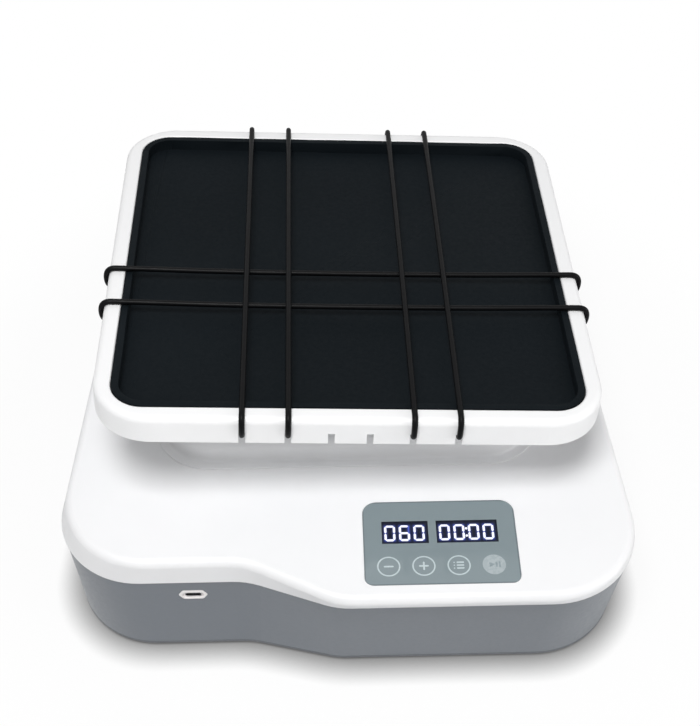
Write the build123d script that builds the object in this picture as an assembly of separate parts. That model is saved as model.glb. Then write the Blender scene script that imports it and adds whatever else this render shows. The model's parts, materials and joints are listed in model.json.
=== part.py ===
from build123d import *
import os
from math import acos, cos, radians, sin, tan

os.makedirs("parts", exist_ok=True)

# Rocking-rotating shaker for staining trays, in millimetres.
# +Z is up, -Y is the front with the touch panel, +X is the operator's right.
# The origin is the middle of the base's outline, on the surface that the feet stand on.

# Levels of the base
feet_height = 3.0
plate_thickness = 1.5
parting_z = 62.5
cover_z = 82.5
wall = 2.5
cover_taper = 3.5
post_radius = 5.0
seam_gap = 0.2

# Plan of the base at the bottom, at the parting line, where it is widest, and at the cover's top
back_y = 162.0
front_left_y = {"bottom": -138.0, "parting": -137.7, "top": -139.2}
front_right_y = {"bottom": -149.6, "parting": -155.1, "top": -165.2}
half_width = {"bottom": 143.1, "parting": 146.2, "top": 140.6}
side_slope = 0.0766
left_bias = 0.54
step_left_x = -52.7
step_right_x = -6.1
step_radius = 41.0
corner_radii = {"back": 42.0, "front_right": 48.0, "front_left": 45.0}
cover_edge_radius = 4.0
lip_chamfer = 0.6
tub_inset = 0.6

# Drive axis, raised boss of the cover, and the point that the tray rocks about
drive_y = 19.5
boss_x = 1.5
boss_y = 24.0
boss_side = 198.0
boss_height = 15.0
boss_corner_radius = 27.0
boss_top_radius = 6.0
boss_foot_radius = 1.5
plinth_side = 208.0
plinth_height = 0.7
plinth_corner_radius = 30.0
boss_hole_radius = 18.0
boss_z = cover_z + boss_height
nutation_z = 106.8
tilt = 7.0
tilt_azimuth = 67.0
tray_heading = 0.3

# Tray, measured from the rocking point along the tray's own axis
tray_side = 255.0
tray_corner_radius = 30.0
rim_width = 9.0
dish_radius = 17.0
rim_top = 30.0
rim_outer_radius = 3.5
rim_inner_radius = 1.2
skirt_bottom = 14.4
skirt_wall = 2.5
dish_wall = 2.0
floor_top = 20.5
floor_thickness = 3.0
floor_under = floor_top - floor_thickness
notch_width = 3.4
notch_height = 6.5
front_notches = (9.5, 30.7, 53.2)
side_notches = (13.6, 41.7)

# Mat lining the dish
mat_gap = 0.5
mat_wall = 3.2
mat_floor = 2.5
mat_top = 29.8
mat_inner_radius = 1.5

# Elastic holding loops
cord_diameter = 3.0
cord_rest = rim_top + cord_diameter / 2 + 0.1
cord_high = cord_rest + 1.55
cord_low = cord_rest - 1.55
cord_hook_z = skirt_bottom + notch_height - cord_diameter / 2 - 0.5

# Rotor and its bearings
shaft_radius = 6.0
shaft_bottom_z = 13.0
shaft_top_z = 99.0
lower_bearing_z = 42.0
upper_bearing_z = 82.0
head_radius = 14.0
head_bottom_z = 91.0
head_face = -5.2
bearing_seat = -2.0
stub_radius = 7.5
stub_top = 12.0
hub_radius = 19.0
hub_bottom = -4.0
flange_radius = 55.0
flange_thickness = 4.0
hub_screw_circle = 44.0
bearing_radius = 14.0
running_gap = 0.05

# Anti-rotation pin on the hub, and the two guides on the boss that it slides between
pin_radius = 2.5
pin_tip = 41.0
guide_radius = 38.0
guide_gap = 6.2
guide_width = 17.0
guide_depth = 9.0
guide_foot_height = 3.0
guide_top_z = 113.5

# Chassis, motor and belt
chassis_z = 34.0
chassis_thickness = 2.0
chassis_top_z = chassis_z + chassis_thickness
chassis_x = -26.0
chassis_size = (190.0, 96.0)
standoff_x = (-114.0, 62.0)
standoff_y = 37.5
housing_screw_circle = 28.0
motor_screw_circle = 18.0
motor_x = -85.0
motor_radius = 25.0
motor_height = 40.0
driven_radius = 45.0
drive_ratio = 3.0
pulley_low_z = 16.0
pulley_high_z = 28.0
belt_thickness = 1.5

# Touch panel
panel_x = 46.9
panel_y = -128.7
panel_width = 78.4
panel_depth = 50.4
panel_thickness = 0.95
panel_back_radius = 7.5
panel_front_radius = 4.8
window_y = -122.5
speed_window_x = 29.2
speed_window_size = (23.8, 13.6)
timer_window_x = 61.0
timer_window_size = (31.4, 13.6)
digit_width = 5.6
digit_height = 9.6
digit_pitch = 7.5
digit_stroke = 1.15
digit_shift_x = -0.3
digit_shift_y = -0.5
digit_thickness = 0.15
touch_y = -143.0
touch_pitch = 17.7
touch_first_x = 20.2
board_z = 72.0
board_thickness = 1.6

# Charging and power port in the front wall
port_x = -81.0
port_z = 50.1
bezel_z = 50.8
port_wall_y = -134.8
bezel_width = 15.4
bezel_height = 8.2


def save(name, *shapes):
    """Write one named piece, or one group of identical pieces."""
    solids = [solid for shape in shapes for solid in shape.solids()]
    body = solids[0] if len(solids) == 1 else Compound(children=solids)
    body.label = name
    export_step(body, f"parts/{name}.step")


def disc(radius, low, high, x=0.0, y=0.0):
    """Upright cylinder between two heights."""
    return Pos(x, y, low) * Cylinder(radius, high - low, align=(Align.CENTER, Align.CENTER, Align.MIN))


def cone(low_radius, high_radius, low, high, x=0.0, y=0.0):
    """Upright cone cut off at both ends."""
    upright = Cone(low_radius, high_radius, high - low, align=(Align.CENTER, Align.CENTER, Align.MIN))
    return Pos(x, y, low) * upright


def ring(outer, inner, low, high, x=0.0, y=0.0):
    """Upright tube between two heights."""
    return disc(outer, low, high, x, y) - disc(inner, low - 1, high + 1, x, y)


def block(width, depth, low, high, x=0.0, y=0.0):
    """Upright box between two heights."""
    return Pos(x, y, low) * Box(width, depth, high - low, align=(Align.CENTER, Align.CENTER, Align.MIN))


def rounded_block(side, radius, low, high, x=0.0, y=0.0):
    """Upright square block with round corners."""
    return Pos(x, y, low) * extrude(RectangleRounded(side, side, radius), high - low)


def around(count, radius, start=0.0):
    """Evenly spaced places on a circle."""
    return [
        (radius * cos(radians(start + 360 * k / count)), radius * sin(radians(start + 360 * k / count)))
        for k in range(count)
    ]


def pan_screw(x, y, under_head, length, shank, direction=1):
    """Pan-head screw whose head sits below under_head, or above it when direction is -1."""
    head_height = 1.2 * shank
    body = disc(shank, 0, length, 0, 0) + Pos(0, 0, -head_height) * disc(1.9 * shank, 0, head_height)
    socket = Pos(0, 0, -head_height) * extrude(RegularPolygon(0.8 * shank, 6), 0.7 * head_height)
    screw = body - socket
    if direction < 0:
        screw = Rot(180, 0, 0) * screw
    return Pos(x, y, under_head) * screw


def ball_bearing(bore_radius, outer_radius, width, balls):
    """Outer ring, inner ring and balls of a deep-groove bearing that stands on its own level."""
    middle = (bore_radius + outer_radius) / 2
    ball_radius = 0.28 * (outer_radius - bore_radius)
    ring_wall = 0.31 * (outer_radius - bore_radius)
    groove = Pos(0, 0, width / 2) * Torus(middle, ball_radius + 0.05)
    outer_ring = ring(outer_radius, outer_radius - ring_wall, 0, width) - groove
    inner_ring = ring(bore_radius + ring_wall, bore_radius, 0, width) - groove
    ball_set = [Pos(x, y, width / 2) * Sphere(ball_radius) for x, y in around(balls, middle)]
    return outer_ring, inner_ring, ball_set


def side_x(y, level):
    """Half width of the base at one level, at a given distance from front to back."""
    return half_width[level] - side_slope * (y + 20.0)


def base_outline(level, z, grow=0.0):
    """Closed outline of the base: a tapered rectangle whose front steps out at the panel."""
    left_y = front_left_y[level] - grow
    right_y = front_right_y[level] - grow
    rear_y = back_y + grow
    points = [
        (-side_x(rear_y, level) - grow - left_bias, rear_y),
        (side_x(rear_y, level) + grow - left_bias, rear_y),
        (side_x(right_y, level) + grow - left_bias, right_y),
        (step_right_x, right_y),
        (step_left_x, left_y),
        (-side_x(left_y, level) - grow - left_bias, left_y),
    ]
    radii = [
        corner_radii["back"] + grow,
        corner_radii["back"] + grow,
        corner_radii["front_right"] + grow,
        step_radius + grow,
        step_radius - grow,
        corner_radii["front_left"] + grow,
    ]
    edge = FilletPolyline(*points, radius=radii, close=True)
    return Pos(0, 0, z) * make_face(edge)


def between(low_level, low_z, high_level, high_z, low_grow=0.0, high_grow=0.0):
    """Solid between two outlines of the base."""
    low_outline = base_outline(low_level, low_z, low_grow)
    high_outline = base_outline(high_level, high_z, high_grow)
    return loft([low_outline, high_outline], ruled=True)


def post_places():
    """Screw posts just inside the base's walls."""
    sides = [
        (sign * (side_x(y, "parting") - 10.2) - left_bias, y)
        for y in (-85.0, 40.0)
        for sign in (-1, 1)
    ]
    rear = [(-70.0, back_y - 7.0), (70.0, back_y - 7.0)]
    front = [(-58.0, -131.0), (112.0, -140.5)]
    return sides + rear + front


def panel_face(grow=0.0):
    """Outline of the touch panel, with larger corners at the back."""
    half_x = panel_width / 2 + grow
    half_y = panel_depth / 2 + grow
    points = [(-half_x, half_y), (half_x, half_y), (half_x, -half_y), (-half_x, -half_y)]
    radii = [panel_back_radius, panel_back_radius, panel_front_radius, panel_front_radius]
    return Pos(panel_x, panel_y) * make_face(FilletPolyline(*points, radius=radii, close=True))


def make_top_cover():
    """White cover with the raised boss that the tray rocks above."""
    shell = between("parting", parting_z + lip_chamfer, "top", cover_z)
    top_edges = shell.faces().sort_by(Axis.Z)[-1].edges()
    shell = fillet(top_edges, cover_edge_radius)
    plinth_z = cover_z + plinth_height
    boss = rounded_block(boss_side, boss_corner_radius, cover_z - 1, boss_z, boss_x, boss_y)
    boss = fillet(boss.faces().sort_by(Axis.Z)[-1].edges(), boss_top_radius)
    plinth = rounded_block(plinth_side, plinth_corner_radius, cover_z - 1, plinth_z, boss_x, boss_y)
    boss += fillet(plinth.faces().sort_by(Axis.Z)[-1].edges(), 0.5 * plinth_height)
    foot = boss.faces().filter_by(Plane.XY).filter_by_position(Axis.Z, plinth_z - 0.1, plinth_z + 0.1)
    shell = shell + fillet(foot[0].inner_wires()[0].edges(), boss_foot_radius)
    shell += between("parting", parting_z, "parting", parting_z + lip_chamfer, -lip_chamfer, 0)
    hollow = between("parting", parting_z - 1, "top", cover_z - wall, -wall, -wall - cover_taper)
    inner_side = boss_side - 2 * wall
    hollow += rounded_block(inner_side, boss_corner_radius - wall, cover_z - 4, boss_z - wall, boss_x, boss_y)
    hollow -= [disc(post_radius, parting_z - 2, cover_z, x, y) for x, y in post_places()]
    hollow -= [disc(3.0, board_z + board_thickness, cover_z, x, y) for x, y in board_posts()]
    shell -= hollow
    shell -= disc(boss_hole_radius, boss_z - 5, boss_z + 1, 0, drive_y)
    shell -= [disc(1.95, parting_z - 1, parting_z + 12, x, y) for x, y in post_places()]
    shell -= [disc(1.3, board_z, board_z + board_thickness + 5, x, y) for x, y in board_posts()]
    pocket = Pos(0, 0, cover_z - panel_thickness) * extrude(panel_face(0.15), 2)
    shell -= pocket
    for x, size in ((speed_window_x, speed_window_size), (timer_window_x, timer_window_size)):
        shell -= block(size[0] + 1, size[1] + 1, cover_z - 2 * wall, cover_z, x, window_y)
    for x, y in guide_screw_places():
        shell -= disc(1.25, boss_z - 5, boss_z + 1, x, y)
    return shell


def make_lower_housing():
    """Grey tub between the bottom plate and the cover."""
    low = feet_height + plate_thickness + seam_gap
    high = parting_z - seam_gap
    tub = between("bottom", low, "parting", high, -tub_inset, -tub_inset)
    hollow = between("bottom", low - 1, "parting", high + 1, -tub_inset - wall, -tub_inset - wall)
    hollow -= [disc(post_radius, low - 2, high + 2, x, y) for x, y in post_places()]
    hollow -= [disc(4.0, low - 2, low + 14, x, y) for x, y in plate_screw_places()]
    hollow -= block(24, 20, port_z - 8.2, port_z - 3.3, port_x, port_wall_y + 7.5)
    tub -= hollow
    tub -= [disc(4.0, low - 1, 50, x, y) + disc(2.15, 49, high + 1, x, y) for x, y in post_places()]
    tub -= [disc(1.25, low - 1, low + 10, x, y) for x, y in plate_screw_places()]
    tub -= [disc(1.0, port_z - 12, port_z, port_x + x, port_wall_y + 14) for x in (-8.0, 8.0)]
    tub -= Pos(port_x, port_wall_y + 0.4, bezel_z) * Rot(90, 0, 0) * extrude(port_face(0.15), 4.0)
    return tub


def port_face(grow=0.0):
    """Outline of the port's insert: a flat hexagon with soft corners."""
    half_w = bezel_width / 2 + grow
    half_h = bezel_height / 2 + grow
    shoulder = half_w - 2.6
    upper = [(-half_w, 0), (-shoulder, half_h), (shoulder, half_h)]
    lower = [(-x, -y) for x, y in upper]
    return make_face(FilletPolyline(*upper, *lower, radius=1.6, close=True))


def plate_screw_places():
    """Screws of the bottom plate, in small bosses along the walls."""
    side = side_x(-20.0, "bottom") - 6.0
    front = [(-104.0, -132.0), (60.0, -144.0)]
    return [*front, (-side - left_bias, -20.0), (side - left_bias, -20.0), (-35.0, 156.5), (35.0, 156.5)]


def foot_places():
    """Rubber feet near the four corners."""
    return [(-118.0, -100.0), (118.0, -108.0), (-98.0, 130.0), (98.0, 130.0)]


def standoff_places():
    """Pillars that carry the chassis plate."""
    return [(x, drive_y + y) for y in (-standoff_y, standoff_y) for x in standoff_x]


def board_posts():
    """Screw posts of the control board under the panel."""
    return [(panel_x + sx * 34.5, panel_y + sy * 20.5) for sx in (-1, 1) for sy in (-1, 1)]


def guide_screw_places():
    """Screws that hold the two guides on the boss, beside the pin's path."""
    screw_x = guide_gap / 2 + guide_width - 6.0
    return [(-screw_x, drive_y + guide_radius), (screw_x, drive_y + guide_radius)]


def make_bottom_plate():
    """Flat plate that closes the tub from below."""
    plate_top = feet_height + plate_thickness
    plate = between("bottom", feet_height, "bottom", plate_top, -tub_inset, -tub_inset)
    for x, y in plate_screw_places():
        plate -= disc(1.6, 0, 10, x, y)
    for x, y in foot_places():
        plate -= disc(4.2, 0, 10, x, y)
    for x, y in standoff_places():
        plate -= disc(2.1, 0, 10, x, y)
    return plate


def make_rubber_foot(x, y):
    """Soft foot with a stem that snaps through the plate."""
    pad = fillet(disc(12, 0, feet_height).edges().sort_by(Axis.Z)[0], 0.8)
    stem = disc(4.0, feet_height - 0.5, 5.0) + disc(5.5, 4.6, 6.8)
    return Pos(x, y, 0) * (pad + stem)


def segment(length, stroke, gap=0.15):
    """One lit bar of a digit, with pointed ends, along X."""
    half = length / 2 - gap
    tip = stroke / 2
    upper = [(-half, 0), (-half + tip, tip), (half - tip, tip)]
    lower = [(-x, -y) for x, y in upper]
    return make_face(Polyline(*upper, *lower, close=True))


def digit(value, x, y):
    """Lit bars of one digit, standing on the window."""
    span_x = digit_width - digit_stroke
    span_y = (digit_height - digit_stroke) / 2
    level = [Pos(0, k * span_y) * segment(span_x, digit_stroke) for k in (1, 0, -1)]
    upright = [
        Pos(sx * span_x / 2, sy * span_y / 2) * Rot(0, 0, 90) * segment(span_y, digit_stroke)
        for sx, sy in ((-1, 1), (1, 1), (-1, -1), (1, -1))
    ]
    bars = {"0": [level[0], level[2], *upright], "6": [*level, upright[0], upright[2], upright[3]]}
    low = cover_z - digit_thickness
    return [Pos(x, y, low) * extrude(bar, digit_thickness) for bar in bars[value]]


def display_window(x, size):
    """Dark window let into the panel."""
    return block(size[0], size[1], cover_z - panel_thickness, cover_z - digit_thickness, x, window_y)


def display_module(x, size):
    """Lamp block of a display, under its window."""
    low = board_z + board_thickness
    return block(size[0] - 0.6, size[1] - 0.6, low, cover_z - panel_thickness - 0.1, x, window_y)


def make_panel_overlay():
    """Glossy panel with two openings for the windows."""
    overlay = Pos(0, 0, cover_z - panel_thickness) * extrude(panel_face(), panel_thickness)
    for x, size in ((speed_window_x, speed_window_size), (timer_window_x, timer_window_size)):
        overlay -= block(size[0] + 0.1, size[1] + 0.1, cover_z - 3, cover_z + 1, x, window_y)
    return overlay


def touch_places():
    """Middles of the four touch spots, from left to right."""
    return [(touch_first_x + touch_pitch * k, touch_y) for k in range(4)]


def make_control_board():
    """Circuit board that carries the displays and the touch pads."""
    board = block(panel_width - 3, panel_depth - 3.4, board_z, board_z + board_thickness, panel_x, panel_y)
    for x, y in board_posts():
        board -= disc(1.6, board_z - 1, board_z + 5, x, y)
    return board


def soft_path(points):
    """Runs joined by arcs that are as large as the runs allow."""
    corners = [Vector(*point) for point in points]
    radii = []
    for before, here, after in zip(corners, corners[1:], corners[2:]):
        turn = (here - before).get_angle(after - here)
        shorter = min((here - before).length, (after - here).length)
        radii.append(0.45 * shorter / tan(radians(turn / 2)))
    print("bend radii", [round(radius, 1) for radius in radii])
    return FilletPolyline(*corners, radius=radii)


def tube(path, diameter):
    """Round tube along a path."""
    start = Plane(origin=path @ 0, z_dir=path % 0)
    return sweep(start * Circle(diameter / 2), path=path)


def make_motor():
    """Brushless motor that stands on the chassis plate."""
    body = disc(motor_radius, chassis_top_z, chassis_top_z + motor_height, motor_x, drive_y)
    body = chamfer(body.edges().sort_by(Axis.Z)[-1], 1.5)
    body -= disc(3.0 + running_gap, chassis_z, chassis_top_z + motor_height - 6, motor_x, drive_y)
    for k in range(5):
        low = chassis_top_z + 8 + 5 * k
        body -= ring(motor_radius + 1, motor_radius - 1.2, low, low + 2.5, motor_x, drive_y)
    for x, y in around(4, motor_screw_circle, 45):
        body -= disc(1.5, chassis_z, chassis_top_z + 6, motor_x + x, drive_y + y)
    return body


def make_chassis_plate():
    """Steel plate that carries the motor and the bearing housing."""
    outline = RectangleRounded(*chassis_size, 8)
    plate = Pos(chassis_x, drive_y, chassis_z) * extrude(outline, chassis_thickness)
    plate -= disc(13, chassis_z - 1, chassis_top_z + 1, 0, drive_y)
    plate -= disc(9, chassis_z - 1, chassis_top_z + 1, motor_x, drive_y)
    for x, y in standoff_places():
        plate -= disc(2.2, chassis_z - 1, chassis_top_z + 1, x, y)
    for x, y in around(4, motor_screw_circle, 45):
        plate -= disc(1.7, chassis_z - 1, chassis_top_z + 1, motor_x + x, drive_y + y)
    for x, y in around(4, housing_screw_circle, 45):
        plate -= disc(2.1, chassis_z - 1, chassis_top_z + 1, x, drive_y + y)
    return plate


def make_bearing_housing():
    """Turned column with a seat for a bearing at each end."""
    column = disc(20, chassis_top_z, 90.5, 0, drive_y)
    column += disc(35, chassis_top_z, chassis_top_z + 6, 0, drive_y)
    column -= disc(11, chassis_top_z - 1, 92, 0, drive_y)
    column -= disc(bearing_radius, lower_bearing_z, lower_bearing_z + 8, 0, drive_y)
    column -= disc(bearing_radius, upper_bearing_z, 92, 0, drive_y)
    for x, y in around(4, housing_screw_circle, 45):
        column -= disc(1.95, chassis_top_z - 1, chassis_top_z + 7, x, drive_y + y)
    return column


def pulley(radius, bore, x):
    """Crowned pulley with a hub, a web and flanges beside the belt."""
    hub = disc(bore + 6, pulley_low_z - 2, pulley_high_z + 2, x, drive_y)
    wheel = disc(radius, pulley_low_z, pulley_high_z, x, drive_y)
    flanges = [disc(radius + 2.2, z, z + 1, x, drive_y) for z in (pulley_low_z, pulley_high_z - 1)]
    wheel = wheel + flanges
    if radius > 30:
        wheel -= ring(radius - 5, bore + 8, pulley_low_z - 1, pulley_low_z + 4, x, drive_y)
        wheel -= ring(radius - 5, bore + 8, pulley_high_z - 4, pulley_high_z + 1, x, drive_y)
        for hx, hy in around(6, (radius + bore) / 2 + 1.5):
            wheel -= disc(6, 0, 40, x + hx, drive_y + hy)
    return wheel + hub - disc(bore, 0, 60, x, drive_y)


def belt_face(driven, driver):
    """Area inside a belt that goes round both pulleys."""
    distance = abs(motor_x)
    lean = acos((driven - driver) / distance)
    tangents = [
        (-driven * cos(lean), driven * sin(lean)),
        (motor_x - driver * cos(lean), driver * sin(lean)),
        (motor_x - driver * cos(lean), -driver * sin(lean)),
        (-driven * cos(lean), -driven * sin(lean)),
    ]
    return make_face(Polyline(*tangents, close=True)) + Circle(driven) + Pos(motor_x, 0) * Circle(driver)


def make_drive_belt():
    """Flat belt from the motor's pulley to the driven one."""
    driver_radius = driven_radius / drive_ratio
    outer_gap = running_gap + belt_thickness
    outer = belt_face(driven_radius + outer_gap, driver_radius + outer_gap)
    inner = belt_face(driven_radius + running_gap, driver_radius + running_gap)
    low = pulley_low_z + 1.5
    return Pos(0, drive_y, low) * extrude(outer - inner, pulley_high_z - 1.5 - low)


# The tray's own frame has its origin at the rocking point and +Z along the inclined axis.
# Its small heading lies within the pin's play between the guides.
tray_lean = Rot(0, 0, tilt_azimuth) * Rot(0, tilt, 0) * Rot(0, 0, tray_heading - tilt_azimuth)
tray_place = Pos(0, drive_y, nutation_z) * tray_lean


def make_tray_shell():
    """White tray: a broad hollow rim round a shallow dish."""
    dish_side = tray_side - 2 * rim_width
    body = rounded_block(tray_side, tray_corner_radius, skirt_bottom, rim_top)
    body = fillet(body.faces().sort_by(Axis.Z)[-1].edges(), rim_outer_radius)
    dish = rounded_block(dish_side, dish_radius, floor_top, rim_top + 1)
    body -= dish
    rim_edge = body.faces().filter_by(Plane.XY).group_by(Axis.Z)[-1][0].inner_wires()[0].edges()
    body = fillet(rim_edge, rim_inner_radius)
    inside = tray_side - 2 * skirt_wall
    body -= rounded_block(inside, tray_corner_radius - skirt_wall, skirt_bottom - 1, floor_under)
    channel = rounded_block(inside, tray_corner_radius - skirt_wall, floor_under - 1, rim_top - 3)
    channel -= rounded_block(dish_side + 2 * dish_wall, dish_radius + dish_wall, floor_under - 2, rim_top)
    body -= channel
    reach = (dish_side + 2 * dish_wall) / 2 - 1
    for turn in (0, 45, 90, 135):
        length = 2 * reach if turn % 90 == 0 else 2.6 * reach
        rib = Rot(0, 0, turn) * block(length, 2.0, skirt_bottom + 0.5, floor_under + 0.5)
        body += rib - disc(flange_radius + 1, 0, floor_under)
    for k in front_notches:
        for x in (-k, k):
            body -= notch_cut(x)
            body -= Rot(0, 0, 180) * notch_cut(x)
    for k in side_notches:
        for y in (-k, k):
            body -= Rot(0, 0, 90) * notch_cut(y)
            body -= Rot(0, 0, -90) * notch_cut(y)
    for x, y in around(6, hub_screw_circle, 30):
        body -= cone(2.1, 4.3, floor_top - 2.2, floor_top, x, y)
        body -= disc(2.1, floor_under - 1, floor_top, x, y)
    return body


def notch_cut(x):
    """Slot in the skirt's lower edge at the front, where a loop hooks in."""
    front = -tray_side / 2
    return block(notch_width, 2 * skirt_wall, skirt_bottom - 1, skirt_bottom + notch_height, x, front)


def make_tray_mat():
    """Black liner with an upstanding edge."""
    side = tray_side - 2 * rim_width - 2 * mat_gap
    radius = dish_radius - mat_gap
    body = rounded_block(side, radius, floor_top, mat_top)
    hollow = rounded_block(side - 2 * mat_wall, radius - mat_wall, floor_top + mat_floor, mat_top + 1)
    hollow = fillet(hollow.faces().sort_by(Axis.Z)[0].edges(), mat_inner_radius)
    body -= hollow
    return fillet(body.faces().sort_by(Axis.Z)[-1].edges(), 0.6)


def half_loop(first, second, middle, level, over):
    """Half of an elastic loop: out over the front rim, through two notches and back."""
    outer = tray_side / 2 + cord_diameter / 2 + 0.1
    behind = tray_side / 2 - skirt_wall - cord_diameter / 2 - 0.5
    bend = cord_diameter * 0.75
    rim_bend = rim_outer_radius + cord_diameter / 2 + 0.1
    points = []
    for x, order in ((first, 1), (second, -1)):
        strand = [
            (x, middle, level),
            (x, over, level),
            (x, -tray_side / 2 + rim_width, cord_rest),
            (x, -outer, cord_rest),
            (x, -outer, cord_hook_z),
            (x, -behind, cord_hook_z),
        ]
        points += strand[::order]
    radii = [60.0, 40.0, rim_bend, bend, bend]
    path = FilletPolyline(*points, radius=radii + radii[::-1])
    return tube(path, cord_diameter)


def make_loop(first, second, level):
    """One elastic loop over the tray, made of a front half and a back half that join in the middle."""
    crossing = -(side_notches[0] + side_notches[1]) / 2 if level > cord_rest else 0.0
    reach = 18.0 if level > cord_rest else 58.0
    front = half_loop(first, second, crossing, level, crossing - reach)
    back = mirror(half_loop(first, second, -crossing, level, -crossing - reach), Plane.XZ)
    return front + back


def make_tray_hub():
    """Flange under the tray with a barrel that holds the tray's bearings."""
    flange = disc(flange_radius, floor_under - flange_thickness, floor_under)
    barrel = disc(hub_radius, hub_bottom, floor_under)
    hub = flange + barrel
    hub -= disc(bearing_radius, hub_bottom - 1, stub_top)
    hub -= disc(11, 0, floor_under + 1)
    hub -= ring(14.8, 13, bearing_seat - 1.2, bearing_seat - 0.1)
    for x, y in around(6, hub_screw_circle, 30):
        hub -= disc(1.95, 0, floor_under + 1, x, y)
    for x, y in around(6, 36, 0):
        hub -= disc(6, floor_under - flange_thickness - 1, floor_under + 1, x, y)
    return hub - radial_pin(10, hub_radius + 1)


def radial_pin(start, end):
    """Round bar that points to the back from the tray's axis."""
    return Pos(0, start, 0) * Rot(-90, 0, 0) * disc(pin_radius, 0, end - start)


def make_inclined_head():
    """Crank head: an upright collar whose stub leans by the tilt angle."""
    collar = disc(head_radius, head_bottom_z, nutation_z + 6, 0, drive_y)
    collar -= tray_place * block(60, 60, head_face, 40)
    collar += disc(8, head_bottom_z - 1, head_bottom_z, 0, drive_y)
    seat = disc(9.5, head_face - 2, bearing_seat) + disc(stub_radius, bearing_seat - 1, stub_top)
    head = collar + tray_place * seat
    head -= disc(shaft_radius, head_bottom_z - 2, shaft_top_z + 0.2, 0, drive_y)
    head -= tray_place * disc(2.5, 2, stub_top + 1)
    head -= Pos(0, drive_y, head_bottom_z + 3.4) * Rot(0, 90, 0) * disc(2.0, 0, 20)
    return head


def make_guides():
    """Two low-friction brackets on the boss, whose uprights keep the pin, and the tray, from turning."""
    guides = []
    for side in (-1, 1):
        foot_x = side * (guide_gap + guide_width) / 2
        upright_x = side * (guide_gap + 5.0) / 2
        guide_y = drive_y + guide_radius
        foot = block(guide_width, guide_depth, boss_z, boss_z + guide_foot_height, foot_x, guide_y)
        upright = block(5.0, 5.0, boss_z, guide_top_z, upright_x, guide_y)
        guide = foot + fillet(upright.edges().filter_by(Axis.Y).group_by(Axis.Z)[-1], 1.5)
        guides.append(guide)
    for k, (x, y) in enumerate(guide_screw_places()):
        guides[k] -= disc(1.6, boss_z - 1, boss_z + 4, x, y)
    return guides


def make_shaft_seal():
    """Lip seal in the boss's hole, round the head."""
    seal = disc(21, boss_z, boss_z + 1.2, 0, drive_y)
    seal += disc(boss_hole_radius, boss_z - wall, boss_z, 0, drive_y)
    return seal - disc(head_radius + running_gap, boss_z - 5, boss_z + 5, 0, drive_y)


def countersunk_screw(x, y, top, length, shank):
    """Countersunk screw with its flat head up."""
    head = cone(shank, 2.1 * shank, top - 2.1, top, x, y)
    cross = block(3.2, 0.8, top - 1.2, top + 1, x, y) + block(0.8, 3.2, top - 1.2, top + 1, x, y)
    return head + disc(shank, top - length, top - 2.0, x, y) - cross


# Casing
save("top_cover", make_top_cover())
save("lower_housing", make_lower_housing())
save("bottom_plate", make_bottom_plate())
save("rubber_feet", *[make_rubber_foot(x, y) for x, y in foot_places()])
save("cover_screws", *[pan_screw(x, y, 50.0, 22.0, 1.9) for x, y in post_places()])
save("plate_screws", *[pan_screw(x, y, feet_height, 9.0, 1.2) for x, y in plate_screw_places()])

# Touch panel and control electronics
save("panel_overlay", make_panel_overlay())
save("speed_window", display_window(speed_window_x, speed_window_size))
save("timer_window", display_window(timer_window_x, timer_window_size))
speed_x = speed_window_x + digit_shift_x
timer_x = timer_window_x + digit_shift_x
digit_y = window_y + digit_shift_y
speed_digits = [digit(v, speed_x + digit_pitch * (k - 1), digit_y) for k, v in enumerate("060")]
timer_digits = [digit("0", timer_x + digit_pitch * (k - 1.5), digit_y) for k in range(4)]
colon = [disc(0.65, cover_z - digit_thickness, cover_z, timer_x, digit_y + y) for y in (-2.2, 2.2)]
save("speed_digits", *[bar for bars in speed_digits for bar in bars])
save("timer_digits", *[bar for bars in timer_digits for bar in bars], *colon)
save("speed_display", display_module(speed_window_x, speed_window_size))
save("timer_display", display_module(timer_window_x, timer_window_size))
pad_low = board_z + board_thickness
save("touch_pads", *[disc(5, pad_low, cover_z - wall, x, y) for x, y in touch_places()])
save("control_board", make_control_board())
save("board_screws", *[pan_screw(x, y, board_z, 5.0, 1.25) for x, y in board_posts()])
chips = [block(12, 12, board_z - 2, board_z, 30, -128), block(8, 6, board_z - 1.6, board_z, 52, -130)]
sockets = [block(10, 6, board_z - 6, board_z, 28, -108.5), block(10, 6, board_z - 6, board_z, 62, -108.5)]
save("board_components", *chips, *sockets)
save("buzzer", disc(5.5, board_z - 7, board_z, 72, -126))

# Power port
port_front = front_left_y["parting"] + tub_inset
bezel = Pos(port_x, port_wall_y, bezel_z) * Rot(90, 0, 0) * extrude(port_face(), port_wall_y - port_front)
dip = extrude(RectangleRounded(11.6, 5.4, 2.6), 1.3)
dip = Pos(port_x, port_front - 0.1, port_z) * Rot(-90, 0, 0) * dip
shell_cut = extrude(RectangleRounded(9.1, 3.4, 1.6), 12)
shell_cut = Pos(port_x, port_front - 2, port_z) * Rot(-90, 0, 0) * shell_cut
save("port_bezel", bezel - dip - shell_cut)
port_outer = extrude(RectangleRounded(8.94, 3.2, 1.55), 7.4)
port_inner = Pos(0, 0, -0.1) * extrude(RectangleRounded(8.34, 2.56, 1.25), 6.6)
save("port_shell", Pos(port_x, port_front + 0.6, port_z) * Rot(-90, 0, 0) * (port_outer - port_inner))
save("port_tongue", block(6.6, 5.4, port_z - 0.35, port_z + 0.35, port_x, port_front + 4.3))
port_board = block(22, 16, port_z - 3.2, port_z - 1.65, port_x, port_wall_y + 10)
port_board -= [disc(1.2, port_z - 5, port_z, port_x + x, port_wall_y + 14) for x in (-8.0, 8.0)]
save("port_board", port_board)
port_screw_y = port_wall_y + 14
save("port_screws", *[pan_screw(port_x + x, port_screw_y, port_z - 1.65, 6.0, 0.95, -1) for x in (-8.0, 8.0)])

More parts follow.
